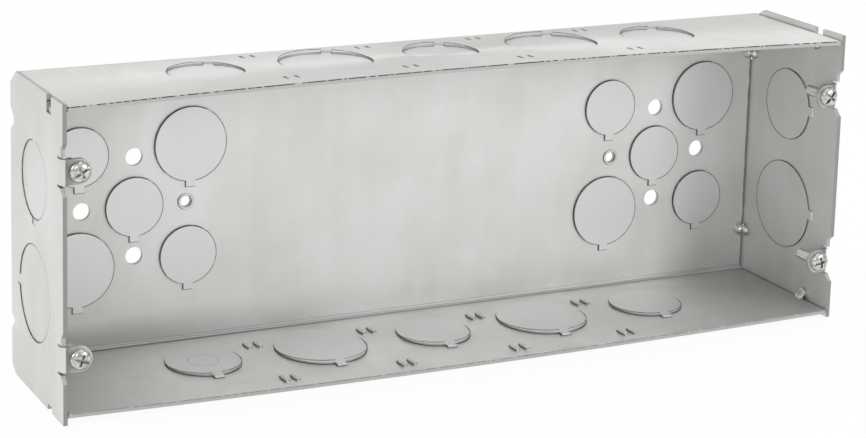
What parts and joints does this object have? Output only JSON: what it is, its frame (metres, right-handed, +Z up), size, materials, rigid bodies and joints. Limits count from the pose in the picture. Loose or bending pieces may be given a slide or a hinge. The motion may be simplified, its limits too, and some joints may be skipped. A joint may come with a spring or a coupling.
{
  "type": "five-gang electrical box",
  "caption": "long open-front sheet-steel switch box with folded back, top and bottom, tacked end plates with screw ears, round knockouts and divider nubs",
  "frame": {"origin": "middle of the outer face of the back wall, at mid-length and mid-height of the folded channel", "axes": "X along the length, +Y out of the back of the box with the open front facing -Y, +Z up"},
  "size_m": [0.3206, 0.0612, 0.1159],
  "materials": {
    "channel_sheet": "galvanised, dull satin",
    "plate_sheet": "galvanised, dull satin",
    "screw_steel": "bright zinc plate",
    "weld_metal": "as welded, bright"
  },
  "bodies": {
    "root": {"box_channel": "channel_sheet", "left_end_plate": "plate_sheet", "right_end_plate": "plate_sheet", "upper_left_cover_screw": "screw_steel", "lower_left_cover_screw": "screw_steel", "upper_right_cover_screw": "screw_steel", "lower_right_cover_screw": "screw_steel", "left_tack_welds": "weld_metal", "right_tack_welds": "weld_metal"}
  },
  "joints": []
}
